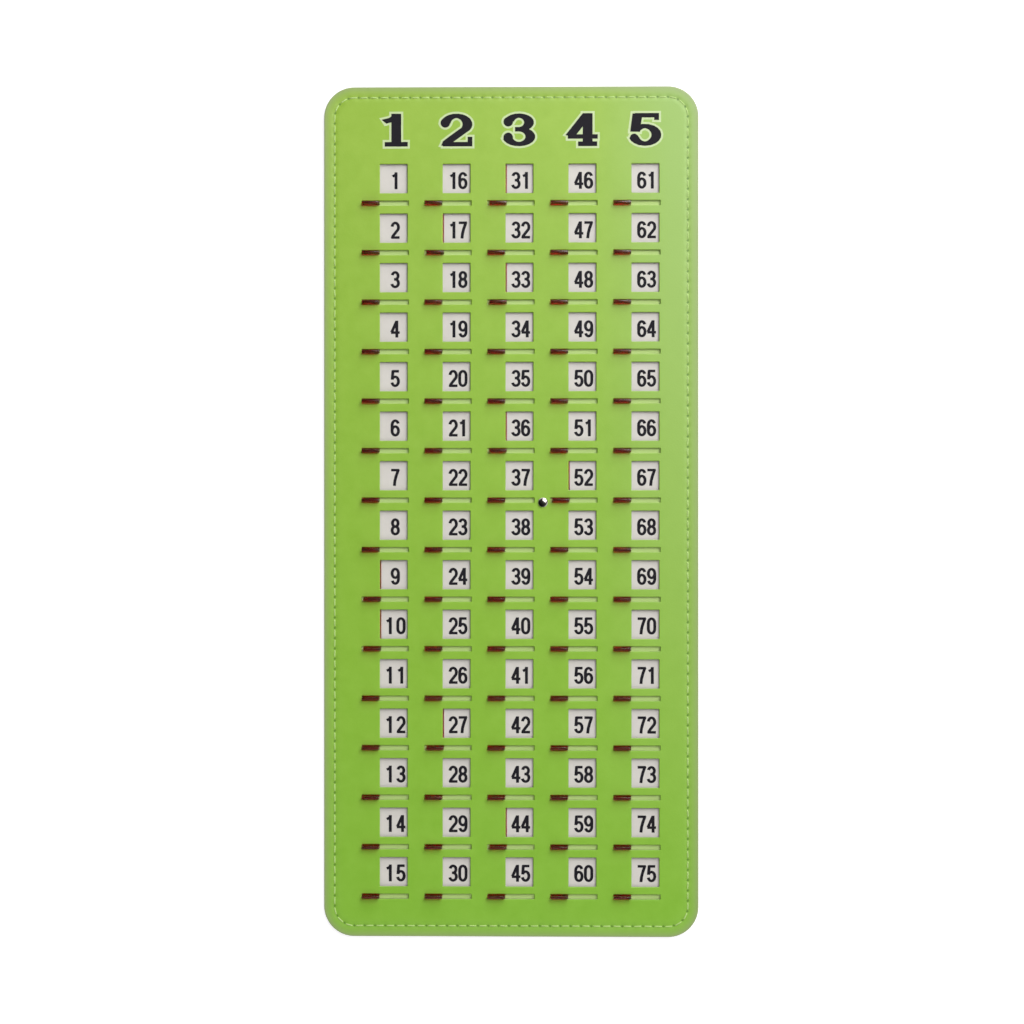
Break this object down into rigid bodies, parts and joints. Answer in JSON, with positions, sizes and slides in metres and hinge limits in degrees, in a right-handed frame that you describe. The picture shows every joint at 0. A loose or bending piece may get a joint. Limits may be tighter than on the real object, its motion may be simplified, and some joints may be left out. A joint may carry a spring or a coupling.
{
  "type": "bingo master board",
  "caption": "flat stitched board with rounded corners that shows numbers through a grid of windows, each closed by a tinted shutter that slides across on a finger tab",
  "frame": {"origin": "middle of the back face that the board lies on", "axes": "+X to the right across the columns, which is the way the shutters close; +Y up the board towards the heading band; +Z out of the front face"},
  "size_m": [0.235, 0.5334, 0.0081],
  "materials": {
    "cover": "green embossed vinyl leatherette on card, satin",
    "divider": "raw grey chipboard",
    "sheet": "white printed card, matt",
    "shutter": "clear red moulded polystyrene",
    "thread": "pale green twisted polyester thread",
    "rivet": "polished nickel plate"
  },
  "bodies": {
    "board": {"front_cover": "cover", "divider_grid": "divider", "number_sheet": "sheet", "back_cover": "cover", "needle_thread": "thread", "bobbin_thread": "thread", "rivet_cap": "rivet", "rivet_post": "rivet"},
    "shutter_01": {"shutter_01": "shutter"},
    "shutter_02": {"shutter_02": "shutter"},
    "shutter_03": {"shutter_03": "shutter"},
    "shutter_04": {"shutter_04": "shutter"},
    "shutter_05": {"shutter_05": "shutter"},
    "shutter_06": {"shutter_06": "shutter"},
    "shutter_07": {"shutter_07": "shutter"},
    "shutter_08": {"shutter_08": "shutter"},
    "shutter_09": {"shutter_09": "shutter"},
    "shutter_10": {"shutter_10": "shutter"},
    "shutter_16": {"shutter_16": "shutter"},
    "shutter_17": {"shutter_17": "shutter"},
    "shutter_18": {"shutter_18": "shutter"},
    "shutter_19": {"shutter_19": "shutter"},
    "shutter_20": {"shutter_20": "shutter"},
    "shutter_21": {"shutter_21": "shutter"},
    "shutter_22": {"shutter_22": "shutter"},
    "shutter_23": {"shutter_23": "shutter"},
    "shutter_24": {"shutter_24": "shutter"},
    "shutter_25": {"shutter_25": "shutter"},
    "shutter_31": {"shutter_31": "shutter"},
    "shutter_32": {"shutter_32": "shutter"},
    "shutter_33": {"shutter_33": "shutter"},
    "shutter_34": {"shutter_34": "shutter"},
    "shutter_35": {"shutter_35": "shutter"},
    "shutter_36": {"shutter_36": "shutter"},
    "shutter_37": {"shutter_37": "shutter"},
    "shutter_38": {"shutter_38": "shutter"},
    "shutter_39": {"shutter_39": "shutter"},
    "shutter_40": {"shutter_40": "shutter"},
    "shutter_46": {"shutter_46": "shutter"},
    "shutter_47": {"shutter_47": "shutter"},
    "shutter_48": {"shutter_48": "shutter"},
    "shutter_49": {"shutter_49": "shutter"},
    "shutter_50": {"shutter_50": "shutter"},
    "shutter_51": {"shutter_51": "shutter"},
    "shutter_52": {"shutter_52": "shutter"},
    "shutter_53": {"shutter_53": "shutter"},
    "shutter_54": {"shutter_54": "shutter"},
    "shutter_55": {"shutter_55": "shutter"},
    "shutter_61": {"shutter_61": "shutter"},
    "shutter_62": {"shutter_62": "shutter"},
    "shutter_63": {"shutter_63": "shutter"},
    "shutter_64": {"shutter_64": "shutter"},
    "shutter_65": {"shutter_65": "shutter"},
    "shutter_66": {"shutter_66": "shutter"},
    "shutter_67": {"shutter_67": "shutter"},
    "shutter_68": {"shutter_68": "shutter"},
    "shutter_69": {"shutter_69": "shutter"},
    "shutter_70": {"shutter_70": "shutter"}
  },
  "joints": [
    {"name": "shutter_01_slide", "type": "slide", "parent": "board", "child": "shutter_01", "axis": [1, 0, 0], "range_m": [0, 0.0179]},
    {"name": "shutter_02_slide", "type": "slide", "parent": "board", "child": "shutter_02", "axis": [1, 0, 0], "range_m": [0, 0.0179]},
    {"name": "shutter_03_slide", "type": "slide", "parent": "board", "child": "shutter_03", "axis": [1, 0, 0], "range_m": [0, 0.0179]},
    {"name": "shutter_04_slide", "type": "slide", "parent": "board", "child": "shutter_04", "axis": [1, 0, 0], "range_m": [0, 0.0179]},
    {"name": "shutter_05_slide", "type": "slide", "parent": "board", "child": "shutter_05", "axis": [1, 0, 0], "range_m": [0, 0.0179]},
    {"name": "shutter_06_slide", "type": "slide", "parent": "board", "child": "shutter_06", "axis": [1, 0, 0], "range_m": [0, 0.0179]},
    {"name": "shutter_07_slide", "type": "slide", "parent": "board", "child": "shutter_07", "axis": [1, 0, 0], "range_m": [0, 0.0179]},
    {"name": "shutter_08_slide", "type": "slide", "parent": "board", "child": "shutter_08", "axis": [1, 0, 0], "range_m": [0, 0.0179]},
    {"name": "shutter_09_slide", "type": "slide", "parent": "board", "child": "shutter_09", "axis": [1, 0, 0], "range_m": [-0.001, 0.0169]},
    {"name": "shutter_10_slide", "type": "slide", "parent": "board", "child": "shutter_10", "axis": [1, 0, 0], "range_m": [-0.001, 0.0169]},
    {"name": "shutter_16_slide", "type": "slide", "parent": "board", "child": "shutter_16", "axis": [1, 0, 0], "range_m": [0, 0.0179]},
    {"name": "shutter_17_slide", "type": "slide", "parent": "board", "child": "shutter_17", "axis": [1, 0, 0], "range_m": [-0.001, 0.0169]},
    {"name": "shutter_18_slide", "type": "slide", "parent": "board", "child": "shutter_18", "axis": [1, 0, 0], "range_m": [0, 0.0179]},
    {"name": "shutter_19_slide", "type": "slide", "parent": "board", "child": "shutter_19", "axis": [1, 0, 0], "range_m": [0, 0.0179]},
    {"name": "shutter_20_slide", "type": "slide", "parent": "board", "child": "shutter_20", "axis": [1, 0, 0], "range_m": [0, 0.0179]},
    {"name": "shutter_21_slide", "type": "slide", "parent": "board", "child": "shutter_21", "axis": [1, 0, 0], "range_m": [0, 0.0179]},
    {"name": "shutter_22_slide", "type": "slide", "parent": "board", "child": "shutter_22", "axis": [1, 0, 0], "range_m": [0, 0.0179]},
    {"name": "shutter_23_slide", "type": "slide", "parent": "board", "child": "shutter_23", "axis": [1, 0, 0], "range_m": [0, 0.0179]},
    {"name": "shutter_24_slide", "type": "slide", "parent": "board", "child": "shutter_24", "axis": [1, 0, 0], "range_m": [0, 0.0179]},
    {"name": "shutter_25_slide", "type": "slide", "parent": "board", "child": "shutter_25", "axis": [1, 0, 0], "range_m": [0, 0.0179]},
    {"name": "shutter_31_slide", "type": "slide", "parent": "board", "child": "shutter_31", "axis": [1, 0, 0], "range_m": [-0.001, 0.0169]},
    {"name": "shutter_32_slide", "type": "slide", "parent": "board", "child": "shutter_32", "axis": [1, 0, 0], "range_m": [0, 0.0179]},
    {"name": "shutter_33_slide", "type": "slide", "parent": "board", "child": "shutter_33", "axis": [1, 0, 0], "range_m": [-0.001, 0.0169]},
    {"name": "shutter_34_slide", "type": "slide", "parent": "board", "child": "shutter_34", "axis": [1, 0, 0], "range_m": [0, 0.0179]},
    {"name": "shutter_35_slide", "type": "slide", "parent": "board", "child": "shutter_35", "axis": [1, 0, 0], "range_m": [0, 0.0179]},
    {"name": "shutter_36_slide", "type": "slide", "parent": "board", "child": "shutter_36", "axis": [1, 0, 0], "range_m": [-0.001, 0.0169]},
    {"name": "shutter_37_slide", "type": "slide", "parent": "board", "child": "shutter_37", "axis": [1, 0, 0], "range_m": [0, 0.0179]},
    {"name": "shutter_38_slide", "type": "slide", "parent": "board", "child": "shutter_38", "axis": [1, 0, 0], "range_m": [0, 0.0179]},
    {"name": "shutter_39_slide", "type": "slide", "parent": "board", "child": "shutter_39", "axis": [1, 0, 0], "range_m": [0, 0.0179]},
    {"name": "shutter_40_slide", "type": "slide", "parent": "board", "child": "shutter_40", "axis": [1, 0, 0], "range_m": [0, 0.0179]},
    {"name": "shutter_46_slide", "type": "slide", "parent": "board", "child": "shutter_46", "axis": [1, 0, 0], "range_m": [0, 0.0179]},
    {"name": "shutter_47_slide", "type": "slide", "parent": "board", "child": "shutter_47", "axis": [1, 0, 0], "range_m": [0, 0.0179]},
    {"name": "shutter_48_slide", "type": "slide", "parent": "board", "child": "shutter_48", "axis": [1, 0, 0], "range_m": [0, 0.0179]},
    {"name": "shutter_49_slide", "type": "slide", "parent": "board", "child": "shutter_49", "axis": [1, 0, 0], "range_m": [0, 0.0179]},
    {"name": "shutter_50_slide", "type": "slide", "parent": "board", "child": "shutter_50", "axis": [1, 0, 0], "range_m": [0, 0.0179]},
    {"name": "shutter_51_slide", "type": "slide", "parent": "board", "child": "shutter_51", "axis": [1, 0, 0], "range_m": [0, 0.0179]},
    {"name": "shutter_52_slide", "type": "slide", "parent": "board", "child": "shutter_52", "axis": [1, 0, 0], "range_m": [-0.001, 0.0169]},
    {"name": "shutter_53_slide", "type": "slide", "parent": "board", "child": "shutter_53", "axis": [1, 0, 0], "range_m": [0, 0.0179]},
    {"name": "shutter_54_slide", "type": "slide", "parent": "board", "child": "shutter_54", "axis": [1, 0, 0], "range_m": [0, 0.0179]},
    {"name": "shutter_55_slide", "type": "slide", "parent": "board", "child": "shutter_55", "axis": [1, 0, 0], "range_m": [0, 0.0179]},
    {"name": "shutter_61_slide", "type": "slide", "parent": "board", "child": "shutter_61", "axis": [1, 0, 0], "range_m": [0, 0.0179]},
    {"name": "shutter_62_slide", "type": "slide", "parent": "board", "child": "shutter_62", "axis": [1, 0, 0], "range_m": [0, 0.0179]},
    {"name": "shutter_63_slide", "type": "slide", "parent": "board", "child": "shutter_63", "axis": [1, 0, 0], "range_m": [0, 0.0179]},
    {"name": "shutter_64_slide", "type": "slide", "parent": "board", "child": "shutter_64", "axis": [1, 0, 0], "range_m": [0, 0.0179]},
    {"name": "shutter_65_slide", "type": "slide", "parent": "board", "child": "shutter_65", "axis": [1, 0, 0], "range_m": [0, 0.0179]},
    {"name": "shutter_66_slide", "type": "slide", "parent": "board", "child": "shutter_66", "axis": [1, 0, 0], "range_m": [0, 0.0179]},
    {"name": "shutter_67_slide", "type": "slide", "parent": "board", "child": "shutter_67", "axis": [1, 0, 0], "range_m": [0, 0.0179]},
    {"name": "shutter_68_slide", "type": "slide", "parent": "board", "child": "shutter_68", "axis": [1, 0, 0], "range_m": [0, 0.0179]},
    {"name": "shutter_69_slide", "type": "slide", "parent": "board", "child": "shutter_69", "axis": [1, 0, 0], "range_m": [0, 0.0179]},
    {"name": "shutter_70_slide", "type": "slide", "parent": "board", "child": "shutter_70", "axis": [1, 0, 0], "range_m": [0, 0.0179]}
  ]
}
